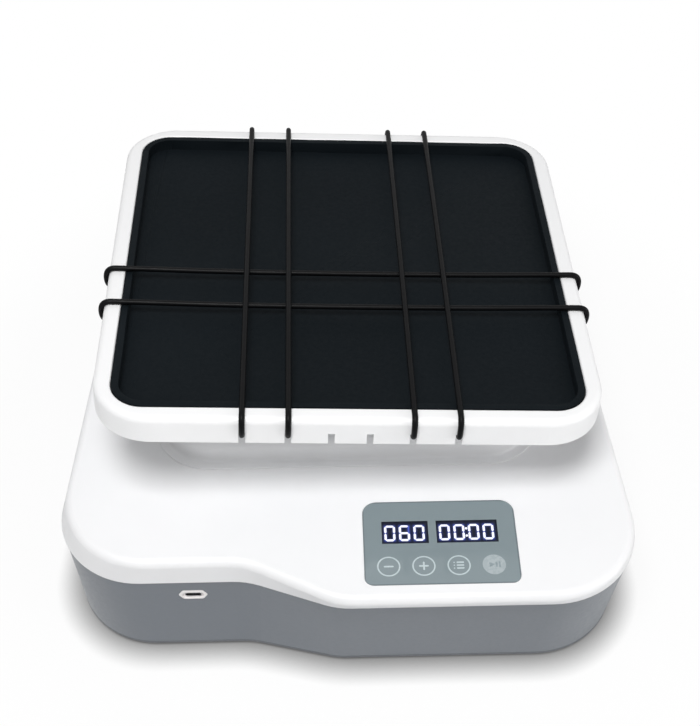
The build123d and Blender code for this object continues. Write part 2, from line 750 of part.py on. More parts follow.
# Chassis, motor and belt
save("chassis_plate", make_chassis_plate())
plate_top_z = feet_height + plate_thickness
pillar = Pos(0, 0, plate_top_z) * extrude(RegularPolygon(5.5, 6), chassis_z - plate_top_z) - disc(1.9, 0, 60)
save("chassis_standoffs", *[Pos(x, y) * pillar for x, y in standoff_places()])
upper_screws = [pan_screw(x, y, chassis_top_z, 9.0, 1.85, -1) for x, y in standoff_places()]
lower_screws = [pan_screw(x, y, feet_height, 9.0, 1.8) for x, y in standoff_places()]
save("chassis_screws", *upper_screws, *lower_screws)
save("motor_body", make_motor())
motor_screw_places = [(motor_x + x, drive_y + y) for x, y in around(4, motor_screw_circle, 45)]
save("motor_screws", *[pan_screw(x, y, chassis_z, 7.0, 1.45) for x, y in motor_screw_places])
save("motor_shaft", disc(3, pulley_low_z - 3, chassis_top_z + motor_height - 7, motor_x, drive_y))
save("motor_pulley", pulley(driven_radius / drive_ratio, 3.0, motor_x))
save("drive_belt", make_drive_belt())
save("bearing_housing", make_bearing_housing())
housing_screw_places = [(x, drive_y + y) for x, y in around(4, housing_screw_circle, 45)]
save("housing_screws", *[pan_screw(x, y, chassis_z, 7.5, 1.9) for x, y in housing_screw_places])

# Rotor that turns in the bearing housing
outer_ring, inner_ring, balls = ball_bearing(shaft_radius, bearing_radius, 8, 8)
bearing_places = [Pos(0, drive_y, z) for z in (lower_bearing_z, upper_bearing_z)]
save("shaft_bearing_outer_rings", *[place * outer_ring for place in bearing_places])
save("shaft_bearing_inner_rings", *[place * inner_ring for place in bearing_places])
save("shaft_bearing_balls", *[place * ball for place in bearing_places for ball in balls])
save("drive_shaft", disc(shaft_radius, shaft_bottom_z, shaft_top_z, 0, drive_y))
save("driven_pulley", pulley(driven_radius, shaft_radius, 0))
save("shaft_collar", ring(9.5, shaft_radius, lower_bearing_z - 4.5, lower_bearing_z, 0, drive_y))
save("inclined_head", make_inclined_head())
grub = Pos(0, drive_y, head_bottom_z + 3.4) * Rot(0, 90, 0) * disc(1.95, shaft_radius + 0.1, 12.5)
save("head_grub_screw", grub)
save("shaft_seal", make_shaft_seal())

# Tray bearings on the leaning stub
outer_ring, inner_ring, balls = ball_bearing(stub_radius, bearing_radius, 7, 10)
tray_bearing_places = [tray_place * Pos(0, 0, z) for z in (bearing_seat, bearing_seat + 7)]
save("tray_bearing_outer_rings", *[place * outer_ring for place in tray_bearing_places])
save("tray_bearing_inner_rings", *[place * inner_ring for place in tray_bearing_places])
save("tray_bearing_balls", *[place * ball for place in tray_bearing_places for ball in balls])
save("stub_washer", tray_place * ring(9.5, 2.6, stub_top, stub_top + 1.4))
save("stub_screw", tray_place * pan_screw(0, 0, stub_top + 1.4, 9.0, 2.45, -1))

# Tray
save("tray_shell", tray_place * make_tray_shell())
save("tray_mat", tray_place * make_tray_mat())
save("tray_hub", tray_place * make_tray_hub())
circlip = ring(14.7, 12.2, bearing_seat - 1.1, bearing_seat - 0.2) - block(6, 20, -10, 0, 0, -20)
save("hub_circlip", tray_place * circlip)
hub_screws = [countersunk_screw(x, y, floor_top - 0.1, 6.6, 1.9) for x, y in around(6, hub_screw_circle, 30)]
save("hub_screws", *[tray_place * screw for screw in hub_screws])
save("anti_rotation_pin", tray_place * radial_pin(15.2, pin_tip))
save("anti_rotation_guides", *make_guides())
guide_top = boss_z + guide_foot_height
save("guide_screws", *[pan_screw(x, y, guide_top, 6.0, 1.2, -1) for x, y in guide_screw_places()])

# Elastic loops: two run front to back and one runs from side to side under them
save("elastic_loop_left", tray_place * make_loop(-front_notches[2], -front_notches[1], cord_high))
save("elastic_loop_right", tray_place * make_loop(front_notches[1], front_notches[2], cord_high))
cross_loop = Rot(0, 0, 90) * make_loop(-side_notches[1], -side_notches[0], cord_low)
save("elastic_loop_side", tray_place * cross_loop)

# Leads inside the base
motor_front = drive_y - motor_radius - 0.5
motor_lead_route = [
    (motor_x, motor_front, 60),
    (motor_x, motor_front - 24, 60),
    (-66, -58, 58),
    (-26, -80, 55),
    (14, -94, 50),
    (28, -108.5, 52),
    (28, -108.5, 66),
]
port_lead_route = [
    (port_x, -116.5, 49),
    (port_x, -106, 48),
    (-56, -98, 45),
    (-16, -104, 42),
    (34, -106, 44),
    (62, -108.5, 50),
    (62, -108.5, 66),
]
save("motor_lead", tube(soft_path(motor_lead_route), 4.0))
save("port_lead", tube(soft_path(port_lead_route), 3.0))
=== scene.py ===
# %% [markdown]
# # Dressing a nutating bench shaker
# The finished machine is a square tray that rocks and swings on a low, two-coloured base.
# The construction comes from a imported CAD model, which is loaded here as a fixed frame.
# This lesson gives that frame its finishes, and adds what is printed, elastic or soft:
# the symbols on the touch panel, the rubber mat and the elastic cords over the tray.
# Everything is in metres. +Z is up, -Y is the front, and the floor is at z = 0.

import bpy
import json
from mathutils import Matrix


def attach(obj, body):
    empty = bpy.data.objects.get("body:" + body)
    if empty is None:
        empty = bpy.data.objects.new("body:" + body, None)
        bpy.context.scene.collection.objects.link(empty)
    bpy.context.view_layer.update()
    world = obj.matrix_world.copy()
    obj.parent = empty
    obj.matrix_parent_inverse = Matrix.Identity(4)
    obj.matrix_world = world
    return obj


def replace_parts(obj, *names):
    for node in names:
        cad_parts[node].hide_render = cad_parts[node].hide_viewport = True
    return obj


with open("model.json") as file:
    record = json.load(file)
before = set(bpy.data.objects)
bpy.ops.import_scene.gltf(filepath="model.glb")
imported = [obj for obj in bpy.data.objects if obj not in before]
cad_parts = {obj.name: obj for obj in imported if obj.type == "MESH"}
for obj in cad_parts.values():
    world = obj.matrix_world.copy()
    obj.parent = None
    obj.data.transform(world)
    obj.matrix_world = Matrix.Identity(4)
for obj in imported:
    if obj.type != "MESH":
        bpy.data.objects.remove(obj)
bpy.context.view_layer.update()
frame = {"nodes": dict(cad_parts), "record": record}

import json
from math import pi, radians

import bpy
from mathutils import Matrix, Vector

# %% [markdown]
# A few measures drive everything that is added. The tray is tilted, so its pieces are modelled
# flat around its rocking point, and one matrix then leans them into place. That keeps every
# number readable: a height on the tray is a height above its own rocking point.

# %% Driving dimensions
millimetre = 0.001
drive_y = 19.5 * millimetre
nutation_height = 106.8 * millimetre
tilt = radians(7.0)
tilt_azimuth = radians(67.0)
tray_heading = radians(0.3)
tray_half = 127.5 * millimetre
rim_width = 9.0 * millimetre
rim_top = 30.0 * millimetre

lean = Matrix.Rotation(tilt_azimuth, 4, "Z") @ Matrix.Rotation(tilt, 4, "Y")
lean = lean @ Matrix.Rotation(tray_heading - tilt_azimuth, 4, "Z")
tray_place = Matrix.Translation((0.0, drive_y, nutation_height)) @ lean
print("tray leans about", tuple(round(v, 4) for v in lean.col[2][:3]))

# %% [markdown]
# ## Camera
# The photograph looks down on the machine at about 41 degrees with a fairly long lens.
# The camera's place was worked out from the square tray, whose four sides are equal.
# A camera in Blender looks along its own -Z, so 41 degrees of rotation about X looks down
# and forwards, and a small turn about Z lets it see a little more of the left side.

# %% Camera
camera_data = bpy.data.cameras.new("photo_camera")
camera = bpy.data.objects.new("photo_camera", camera_data)
bpy.context.scene.collection.objects.link(camera)
camera_data.lens = 68.58
camera_data.sensor_width = 36.0
camera.location = (-0.0089, -0.5241, 0.6715)
camera.rotation_euler = (radians(41.32), 0.0, radians(-1.42))
bpy.context.scene.camera = camera
print("camera at", tuple(camera.location), "lens", camera_data.lens)

# %% [markdown]
# ## Helpers for materials
# A material is a tree of nodes. Adding one node takes three steps by hand: make it, set its
# choices, and fill or link its inputs. This helper does the three in one call, so that each
# finish below reads as a short recipe.


# %% Node helper
def add(tree, kind, inputs=None, **choices):
    """Add a shader node, set its choices, and fill or link its inputs by name or number."""
    made = tree.nodes.new("ShaderNode" + kind)
    for name, value in choices.items():
        setattr(made, name, value)
    for socket, value in (inputs or {}).items():
        if isinstance(value, bpy.types.NodeSocket):
            tree.links.new(value, made.inputs[socket])
        else:
            made.inputs[socket].default_value = value
    return made


def grey(value):
    """A neutral colour."""
    return (value, value, value, 1.0)


def spread(tree, value, low, high):
    """Stretch the middle of a noise, which rarely leaves 0.35 to 0.65, to a full range."""
    inputs = {"Value": value, "From Min": 0.35, "From Max": 0.65, "To Min": low, "To Max": high}
    return add(tree, "MapRange", inputs).outputs["Result"]


def new_group(name, inputs, outputs):
    """Start a shader group with named number inputs, a Vector input and named number outputs."""
    tree = bpy.data.node_groups.new(name, "ShaderNodeTree")
    tree.interface.new_socket("Vector", in_out="INPUT", socket_type="NodeSocketVector")
    for socket, value in inputs.items():
        made = tree.interface.new_socket(socket, in_out="INPUT", socket_type="NodeSocketFloat")
        made.default_value = value
    for socket in outputs:
        tree.interface.new_socket(socket, in_out="OUTPUT", socket_type="NodeSocketFloat")
    return tree, tree.nodes.new("NodeGroupInput"), tree.nodes.new("NodeGroupOutput")


# %% [markdown]
# ## Shared effects
# Most of the machine is moulded plastic or rubber. Up close such a surface is a fine, even
# grain left by the mould, and over a hand's width it varies very slightly in tone and gloss.
# Both belong to many finishes, so they are one group: each material feeds it its own sizes.
# Metal parts share a second group, whose noise is pulled out along one axis into tool marks.


# %% Group for moulded surfaces
def make_moulded_texture():
    """Fine grain for the bump, a slow drift of tone, and small specks."""
    sizes = {"Grain": 2500.0, "Drift": 9.0}
    tree, start, end = new_group("moulded_texture", sizes, ["Height", "Tone", "Speck"])
    vector = start.outputs["Vector"]
    grain = add(tree, "TexNoise", {"Vector": vector, "Scale": start.outputs["Grain"], "Detail": 2.0})
    drift = add(tree, "TexNoise", {"Vector": vector, "Scale": start.outputs["Drift"], "Detail": 3.0})
    speck = add(tree, "TexNoise", {"Vector": vector, "Scale": 420.0, "Detail": 4.0, "Roughness": 0.7})
    tree.links.new(grain.outputs["Fac"], end.inputs["Height"])
    tree.links.new(spread(tree, drift.outputs["Fac"], 0.0, 1.0), end.inputs["Tone"])
    tree.links.new(spread(tree, speck.outputs["Fac"], 0.0, 1.0), end.inputs["Speck"])
    return tree


moulded_texture = make_moulded_texture()
print("group", moulded_texture.name, "made")


# %% Group for machined metal
def make_tool_marks():
    """Fine lines along one axis, and a slow drift of tone."""
    tree, start, end = new_group("tool_marks", {"Fine": 900.0, "Drift": 20.0}, ["Height", "Tone"])
    vector = start.outputs["Vector"]
    lines = add(tree, "TexNoise", {"Vector": vector, "Scale": start.outputs["Fine"], "Detail": 3.0})
    drift = add(tree, "TexNoise", {"Vector": vector, "Scale": start.outputs["Drift"], "Detail": 2.0})
    both = add(tree, "Math", {0: lines.outputs["Fac"], 1: drift.outputs["Fac"]}, operation="ADD")
    half = add(tree, "Math", {0: both.outputs[0], 1: 0.5}, operation="MULTIPLY")
    tree.links.new(lines.outputs["Fac"], end.inputs["Height"])
    tree.links.new(spread(tree, half.outputs[0], 0.0, 1.0), end.inputs["Tone"])
    return tree


tool_marks = make_tool_marks()
print("group", tool_marks.name, "made")

# %% [markdown]
# ## Finishes
# Each finish starts the same way: the place on the piece feeds the shared group, the group's
# tone mixes two close colours, its specks move the roughness a little, and its height becomes
# a very shallow bump. Numbers that are the same all over, such as a coat, go straight on the
# shader's own socket.


# %% Finish makers
mark_depth = 0.01 * millimetre


def start_material(name):
    """A material with its shader, and the place on the piece."""
    material = bpy.data.materials.new(name)
    material.use_nodes = True
    tree = material.node_tree
    shader = tree.nodes["Principled BSDF"]
    place = add(tree, "TexCoord").outputs["Object"]
    return material, tree, shader, place


def mix_colours(tree, amount, first, second):
    """Colour between two others."""
    made = add(tree, "Mix", {"Factor": amount}, data_type="RGBA")
    for socket, colour in (("A_Color", first), ("B_Color", second)):
        target = next(s for s in made.inputs if s.identifier == socket)
        if isinstance(colour, bpy.types.NodeSocket):
            tree.links.new(colour, target)
        else:
            target.default_value = colour
    return next(s for s in made.outputs if s.identifier == "Result_Color")


def dress_shader(tree, shader, group, tones, rough, gloss_by, depth):
    """Link a group's tone, one of its outputs as gloss, and its height to a shader."""
    light, dark = tones
    colour = mix_colours(tree, group.outputs["Tone"], (*dark, 1.0), (*light, 1.0))
    tree.links.new(colour, shader.inputs["Base Color"])
    gloss = {"Value": group.outputs[gloss_by], "To Min": rough[0], "To Max": rough[1]}
    tree.links.new(add(tree, "MapRange", gloss).outputs["Result"], shader.inputs["Roughness"])
    bump = add(tree, "Bump", {"Height": group.outputs["Height"], "Distance": depth, "Strength": 1.0})
    tree.links.new(bump.outputs["Normal"], shader.inputs["Normal"])


def moulded(name, light, dark, rough, grain=2500.0, depth=0.00002, drift=9.0, coat=0.0, shine=0.5):
    """Moulded plastic or rubber: two close tones, a range of roughness, grain and its depth."""
    material, tree, shader, place = start_material(name)
    group = add(tree, "Group", node_tree=moulded_texture)
    tree.links.new(place, group.inputs["Vector"])
    group.inputs["Grain"].default_value = grain
    group.inputs["Drift"].default_value = drift
    dress_shader(tree, shader, group, (light, dark), rough, "Speck", depth)
    shader.inputs["Specular IOR Level"].default_value = shine
    shader.inputs["Coat Weight"].default_value = coat
    shader.inputs["Coat Roughness"].default_value = 0.08
    return material


def machined(name, light, dark, rough, stretch):
    """Bare metal with tool marks along the axis whose stretch is small."""
    material, tree, shader, place = start_material(name)
    mapping = add(tree, "Mapping", {"Vector": place, "Scale": stretch})
    group = add(tree, "Group", node_tree=tool_marks)
    tree.links.new(mapping.outputs["Vector"], group.inputs["Vector"])
    dress_shader(tree, shader, group, (light, dark), rough, "Tone", mark_depth)
    shader.inputs["Metallic"].default_value = 1.0
    return material


# %% [markdown]
# The casing is satin white over a darker grey, and the tray is a slightly glossier white.
# The rubber of the mat is close to black, and the top of its wall carries a painted highlight: a lighter,
# glossier finish.
# Nothing white is pure white and nothing black is pure black, or it would lose its shading.

# %% Plastics and rubbers
# Lighter tone, darker tone, least and most roughness, and what differs from the usual grain
plastics = {
    "white_plastic": ((0.88, 0.88, 0.89), (0.85, 0.855, 0.865), (0.36, 0.46), {}),
    "tray_plastic": ((0.93, 0.93, 0.935), (0.91, 0.912, 0.918), (0.30, 0.40), {}),
    "port_white": ((0.90, 0.87, 0.86), (0.87, 0.84, 0.83), (0.35, 0.45), {}),
    "grey_plastic": (
        (0.150, 0.168, 0.192), (0.143, 0.160, 0.184), (0.30, 0.38), {"grain": 1800.0, "depth": 0.00003}
    ),
    "foot_rubber": (
        (0.03, 0.03, 0.032), (0.02, 0.02, 0.022), (0.6, 0.75), {"grain": 1500.0, "depth": 0.00005}
    ),
    "mat_rubber": (
        (0.0035, 0.0058, 0.0078), (0.0022, 0.0042, 0.0058), (0.62, 0.75),
        {"grain": 1400.0, "depth": 0.00004, "shine": 0.09},
    ),
    # Painted highlight on the top of the mat's wall: a lighter rubber than the mat's own
    "mat_painted_highlight": (
        (0.022, 0.026, 0.030), (0.014, 0.017, 0.020), (0.50, 0.62),
        {"grain": 1400.0, "depth": 0.00004, "shine": 0.3},
    ),
    "elastic": (
        (0.002, 0.0022, 0.0027), (0.0012, 0.0013, 0.0016), (0.34, 0.46),
        {"grain": 3000.0, "drift": 30.0, "shine": 0.10},
    ),
    "belt_rubber": (
        (0.025, 0.025, 0.025), (0.015, 0.015, 0.015), (0.6, 0.8), {"grain": 1600.0, "depth": 0.00005}
    ),
    "chip_black": ((0.025, 0.025, 0.027), (0.018, 0.018, 0.02), (0.4, 0.55), {"grain": 3500.0}),
    "pad_foam": ((0.09, 0.09, 0.10), (0.05, 0.05, 0.06), (0.8, 0.95), {"grain": 1200.0, "depth": 0.0002}),
    "guide_acetal": ((0.86, 0.86, 0.84), (0.82, 0.82, 0.80), (0.30, 0.42), {"depth": 0.00003}),
    "lead_sleeve": ((0.04, 0.04, 0.045), (0.02, 0.02, 0.025), (0.5, 0.7), {"grain": 900.0, "depth": 0.0001}),
    "motor_case": (
        (0.06, 0.06, 0.065), (0.04, 0.04, 0.045), (0.35, 0.5), {"grain": 2000.0, "depth": 0.00003}
    ),
    "plate_steel": (
        (0.13, 0.142, 0.158), (0.115, 0.125, 0.14), (0.42, 0.55), {"grain": 1400.0, "depth": 0.00006}
    ),
    "board_green": (
        (0.02, 0.17, 0.08), (0.015, 0.12, 0.06), (0.25, 0.4), {"grain": 700.0, "depth": 0.00003}
    ),
}
finishes = {}
for name, (light, dark, rough, unusual) in plastics.items():
    finishes[name] = moulded(name, light, dark, rough, **unusual)
print("plastics and rubbers:", len(finishes))

# %% [markdown]
# The metals are seen under the tray and when the machine comes apart. Turned parts carry
# marks round their axis, so the noise is squeezed along Z and reads as fine rings. Rolled
# sheet carries them along its length.

# %% Metals
ring_marks = (0.04, 0.04, 1.0)
sheet_marks = (0.04, 1.0, 1.0)
even_marks = (1.0, 1.0, 1.0)
metals = {
    "screw_steel": ((0.60, 0.60, 0.61), (0.48, 0.48, 0.49), (0.28, 0.42), even_marks),
    "shaft_steel": ((0.64, 0.64, 0.65), (0.56, 0.56, 0.57), (0.16, 0.26), ring_marks),
    "bearing_steel": ((0.76, 0.76, 0.77), (0.68, 0.68, 0.69), (0.08, 0.16), ring_marks),
    "turned_aluminium": ((0.76, 0.77, 0.78), (0.66, 0.67, 0.68), (0.26, 0.38), ring_marks),
    "chassis_steel": ((0.60, 0.61, 0.62), (0.50, 0.51, 0.52), (0.30, 0.45), sheet_marks),
    "port_metal": ((0.62, 0.62, 0.63), (0.52, 0.52, 0.53), (0.18, 0.30), even_marks),
}
for name, recipe in metals.items():
    finishes[name] = machined(name, *recipe)
print("finishes so far:", len(finishes))


# %% [markdown]
# The touch panel is a printed film under a glossy face. The print is a quiet blue-grey, and
# the gloss comes from a clear coat over a duller base, the way a film really is built.
# The windows are the same film left dark. Behind them sit lit bars, whose blue light leaks
# a little into the window around each digit: a soft band of glow in the window's
# own material, strongest along the outline of each digit.

# %% Panel finishes
panel_middle = (46.9 * millimetre, -128.7 * millimetre)
panel_half = (39.2 * millimetre, 25.2 * millimetre)
panel_rim = (0.3 * millimetre, 0.9 * millimetre)
print_light = (0.203, 0.253, 0.271, 1.0)
print_dark = (0.200, 0.250, 0.268, 1.0)
print_rim = (0.13, 0.165, 0.185, 1.0)
window_divide = 43.0 * millimetre
digit_pitch = 7.5 * millimetre
digit_half = (2.22 * millimetre, 4.22 * millimetre)
digit_y = -123.0 * millimetre
speed_first = 21.4 * millimetre
timer_first = 49.45 * millimetre
glow_reach = 0.42 * millimetre
glow_off = (0.003, 0.004, 0.010, 1.0)
glow_full = (0.12, 0.18, 0.80, 1.0)
lit_edge = (0.80, 0.85, 1.0, 1.0)
lit_middle = (0.97, 0.98, 1.0, 1.0)


def make_panel_film():
    """Blue-grey print under a glossy face, darker along the panel's edge."""
    material, tree, shader, place = start_material("panel_film")
    axes = add(tree, "SeparateXYZ", {"Vector": place})
    to_edge = []
    for axis, middle, half in zip("XY", panel_middle, panel_half):
        away = add(tree, "Math", {0: axes.outputs[axis], 1: middle}, operation="SUBTRACT")
        away = add(tree, "Math", {0: away.outputs[0]}, operation="ABSOLUTE")
        to_edge.append(add(tree, "Math", {0: half, 1: away.outputs[0]}, operation="SUBTRACT").outputs[0])
    nearest = add(tree, "Math", {0: to_edge[0], 1: to_edge[1]}, operation="MINIMUM")
    rim = {"Value": nearest.outputs[0], "From Min": panel_rim[0], "From Max": panel_rim[1]}
    rim = add(tree, "MapRange", rim, interpolation_type="SMOOTHSTEP")
    group = add(tree, "Group", node_tree=moulded_texture)
    tree.links.new(place, group.inputs["Vector"])
    group.inputs["Drift"].default_value = 14.0
    print_tone = mix_colours(tree, group.outputs["Tone"], print_dark, print_light)
    colour = mix_colours(tree, rim.outputs["Result"], print_rim, print_tone)
    tree.links.new(colour, shader.inputs["Base Color"])
    gloss = {"Value": group.outputs["Speck"], "To Min": 0.275, "To Max": 0.285}
    tree.links.new(add(tree, "MapRange", gloss).outputs["Result"], shader.inputs["Roughness"])
    shader.inputs["Coat Weight"].default_value = 0.6
    shader.inputs["Coat Roughness"].default_value = 0.06
    return material


def make_digit_glow():
    """Group: how close a place is to the outline of the nearest digit in a row."""
    places = {"First": 0.0, "Last": 0.0, "Middle": 0.0, "Reach": millimetre}
    tree, start, end = new_group("digit_glow", places, ["Glow"])
    axes = add(tree, "SeparateXYZ", {"Vector": start.outputs["Vector"]})

    def work(operation, first, second=0.0):
        return add(tree, "Math", {0: first, 1: second}, operation=operation).outputs[0]

    from_first = work("SUBTRACT", axes.outputs["X"], start.outputs["First"])
    steps = work("ROUND", work("DIVIDE", from_first, digit_pitch))
    steps = work("MINIMUM", work("MAXIMUM", steps, 0.0), start.outputs["Last"])
    across = work("ABSOLUTE", work("SUBTRACT", from_first, work("MULTIPLY", steps, digit_pitch)))
    along = work("ABSOLUTE", work("SUBTRACT", axes.outputs["Y"], start.outputs["Middle"]))
    over_x = work("SUBTRACT", across, digit_half[0])
    over_y = work("SUBTRACT", along, digit_half[1])
    inside = work("ABSOLUTE", work("MAXIMUM", over_x, over_y))
    corner_x = work("MAXIMUM", over_x, 0.0)
    corner_y = work("MAXIMUM", over_y, 0.0)
    square_x = work("MULTIPLY", corner_x, corner_x)
    square_y = work("MULTIPLY", corner_y, corner_y)
    corner = work("SQRT", work("ADD", square_x, square_y))
    distance = work("MAXIMUM", corner, work("MULTIPLY", inside, work("LESS_THAN", corner, 0.000001)))
    glow = work("EXPONENT", work("MULTIPLY", work("DIVIDE", distance, start.outputs["Reach"]), -1.0))
    tree.links.new(glow, end.inputs["Glow"])
    return tree


digit_glow = make_digit_glow()
print("group", digit_glow.name, "made")


def make_dark_window():
    """Dark glossy window with a blue glow that hugs the outline of each of its digits."""
    material, tree, shader, place = start_material("dark_window")
    axes = add(tree, "SeparateXYZ", {"Vector": place})
    timer = add(tree, "Math", {0: axes.outputs["X"], 1: window_divide}, operation="GREATER_THAN")
    group = add(tree, "Group", node_tree=digit_glow)
    tree.links.new(place, group.inputs["Vector"])
    first = {"Value": timer.outputs[0], "To Min": speed_first, "To Max": timer_first}
    tree.links.new(add(tree, "MapRange", first).outputs["Result"], group.inputs["First"])
    last = {"Value": timer.outputs[0], "To Min": 2.0, "To Max": 3.0}
    tree.links.new(add(tree, "MapRange", last).outputs["Result"], group.inputs["Last"])
    group.inputs["Middle"].default_value = digit_y
    group.inputs["Reach"].default_value = glow_reach
    haze = add(tree, "TexNoise", {"Vector": place, "Scale": 260.0, "Detail": 2.0})
    haze = {"Value": haze.outputs["Fac"], "To Min": 0.7, "To Max": 1.3}
    haze = add(tree, "MapRange", haze).outputs["Result"]
    glow = add(tree, "Math", {0: group.outputs["Glow"], 1: haze}, operation="MULTIPLY")
    light = mix_colours(tree, glow.outputs[0], glow_off, glow_full)
    tree.links.new(light, shader.inputs["Emission Color"])
    shader.inputs["Base Color"].default_value = (0.004, 0.005, 0.009, 1.0)
    shader.inputs["Emission Strength"].default_value = 1.0
    shader.inputs["Specular IOR Level"].default_value = 0.25
    shader.inputs["Roughness"].default_value = 0.15
    return material


def make_lit_digits():
    """White bars lit from behind, whose tone drifts at random a little towards a dimmer blue."""
    material, tree, shader, place = start_material("lit_digits")
    haze = add(tree, "TexNoise", {"Vector": place, "Scale": 900.0, "Detail": 2.0})
    colour = mix_colours(tree, spread(tree, haze.outputs["Fac"], 0.0, 1.0), lit_edge, lit_middle)
    tree.links.new(colour, shader.inputs["Emission Color"])
    shader.inputs["Base Color"].default_value = (0.3, 0.3, 0.35, 1.0)
    shader.inputs["Emission Strength"].default_value = 0.9
    shader.inputs["Roughness"].default_value = 0.4
    return material


finishes["panel_film"] = make_panel_film()
finishes["dark_window"] = make_dark_window()
finishes["lit_digits"] = make_lit_digits()
print("finishes in all:", len(finishes))

# %% [markdown]
# The record of the frame names one finish for each node, so a short loop dresses them all.
# A CAD node keeps its mesh and its place: only the material in its slots changes.

# %% Dress the CAD nodes
for entry in frame["record"]["subparts"]:
    node = frame["nodes"][entry["node"]]
    material = finishes[entry["material_slot"]]
    if not node.material_slots:
        node.data.materials.append(material)
    for material_slot in node.material_slots:
        material_slot.material = material

# %% [markdown]
# ## Helpers for new pieces
# New pieces are modelled as by hand. The loader leaves the CAD nodes selected, and an operator
# works on all that is selected, so each piece starts from a clear selection. A piece is
# finished by naming it, giving it a finish and letting it ride on the body that carries it.


# %% Piece helpers
def start_clean():
    """Leave edit mode and deselect everything."""
    if bpy.context.object and bpy.context.object.mode != "OBJECT":
        bpy.ops.object.mode_set(mode="OBJECT")
    bpy.ops.object.select_all(action="DESELECT")


def settle(piece, name, finish, body, place=None):
    """Name a piece, put its place into its mesh, dress it and let it ride on a body."""
    start_clean()
    piece.select_set(True)
    bpy.context.view_layer.objects.active = piece
    if place is not None:
        piece.data.transform(piece.matrix_world)
        piece.data.transform(place)
        piece.matrix_world = Matrix.Identity(4)
    else:
        bpy.ops.object.transform_apply(location=True, rotation=True, scale=True)
    piece.name = name
    piece.data.name = name
    piece.data.materials.clear()
    piece.data.materials.append(finishes[finish])
    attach(piece, body)
    print(name, "has", len(piece.data.polygons), "faces")
    return piece


def join(pieces):
    """One object from several."""
    start_clean()
    for piece in pieces:
        piece.select_set(True)
    bpy.context.view_layer.objects.active = pieces[0]
    bpy.ops.object.join()
    return pieces[0]


# %% [markdown]
# ## Rubber mat
# The dish is lined with a thin moulded rubber tray that is pressed in by hand, so its wall is
# never quite straight. It starts as a flat square whose corners are rounded. The long sides
# get extra points, so that the wall has something to wave with. The square is pushed up to the
# wall's height, its top is inset by the wall's thickness, and the middle is pushed down again.
# A bevel rounds every edge, and a very shallow displacement takes away the last stiffness.
# One corner was pressed in badly and stands a little away from the tray.

# %% Mat
mat_half = 118.1 * millimetre
mat_corner = 16.6 * millimetre
mat_bottom = 20.5 * millimetre
mat_height = 9.3 * millimetre
mat_wall = 3.5 * millimetre
mat_depth = 6.8 * millimetre
# Depth of the band on top of the mat's wall that gets the painted highlight
painted_highlight_band = 0.9 * millimetre
loose_from = 92 * millimetre
loose_above = 24 * millimetre
loose_shift = (-1.3 * millimetre, 1.1 * millimetre)


def make_mat():
    """Square rubber liner with an upstanding edge, flat around the rocking point."""
    start_clean()
    bpy.ops.mesh.primitive_plane_add(size=2 * mat_half, location=(0.0, 0.0, mat_bottom))
    mat = bpy.context.object
    bpy.ops.object.mode_set(mode="EDIT")
    bpy.ops.mesh.select_all(action="SELECT")
    bpy.ops.mesh.bevel(offset=mat_corner, segments=12, affect="VERTICES")
    bpy.ops.object.mode_set(mode="OBJECT")
    points = mat.data.vertices
    for edge in mat.data.edges:
        first, second = edge.vertices
        edge.select = (points[first].co - points[second].co).length > mat_corner
    bpy.ops.object.mode_set(mode="EDIT")
    bpy.context.tool_settings.mesh_select_mode = (False, True, False)
    bpy.ops.mesh.subdivide(number_cuts=20)
    bpy.context.tool_settings.mesh_select_mode = (False, False, True)
    bpy.ops.mesh.select_all(action="SELECT")
    bpy.ops.mesh.extrude_region_move(TRANSFORM_OT_translate={"value": (0.0, 0.0, mat_height)})
    bpy.ops.mesh.inset(thickness=mat_wall)
    bpy.ops.mesh.extrude_region_move(TRANSFORM_OT_translate={"value": (0.0, 0.0, -mat_depth)})
    bpy.ops.mesh.select_all(action="SELECT")
    bpy.ops.mesh.normals_make_consistent(inside=False)
    bpy.ops.object.mode_set(mode="OBJECT")
    for point in mat.data.vertices:
        place = point.co
        if place.x > loose_from and place.y < -loose_from and place.z > loose_above:
            place.x += loose_shift[0]
            place.y += loose_shift[1]
    bevel = mat.modifiers.new("soft_edges", "BEVEL")
    bevel.width = 1.0 * millimetre
    bevel.segments = 3
    bevel.limit_method = "ANGLE"
    wave = mat.modifiers.new("hand_pressed", "DISPLACE")
    wave.texture = bpy.data.textures.new("mat_wave", "CLOUDS")
    wave.texture.noise_scale = 0.045
    wave.texture_coords = "LOCAL"
    wave.strength = 0.9 * millimetre
    wave.mid_level = 0.5
    for modifier in ("soft_edges", "hand_pressed"):
        bpy.ops.object.modifier_apply(modifier=modifier)
    bpy.ops.object.shade_smooth_by_angle(angle=radians(35))
    return mat


mat = make_mat()
# Faces on top of the wall that look up get the lighter finish: a painted highlight
painted_highlight_faces = [
    face.index for face in mat.data.polygons
    if face.center.z > mat_bottom + mat_height - painted_highlight_band and face.normal.z > 0.4
]
settle(mat, "rubber_mat", "mat_rubber", "tray", tray_place)
mat.data.materials.append(finishes["mat_painted_highlight"])
for index in painted_highlight_faces:
    mat.data.polygons[index].material_index = 1
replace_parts(mat, "tray_mat")
print("edge faces of the mat", len(painted_highlight_faces))

# %% [markdown]
# ## Elastic cords
# Three elastic loops hold what stands on the tray. Each is one endless cord: it runs across the
# tray, over the rim, down the outside, through a notch in the skirt and back through the next
# notch. A cord that is pulled tight is straight between its bends, and its bends are as tight
# as the edges it goes round. A cyclic NURBS curve of order 3 does both: it is straight where
# three points are in line, and rounds each corner smoothly. The curve is then given its
# thickness and made a mesh, so that it can lean with the tray.

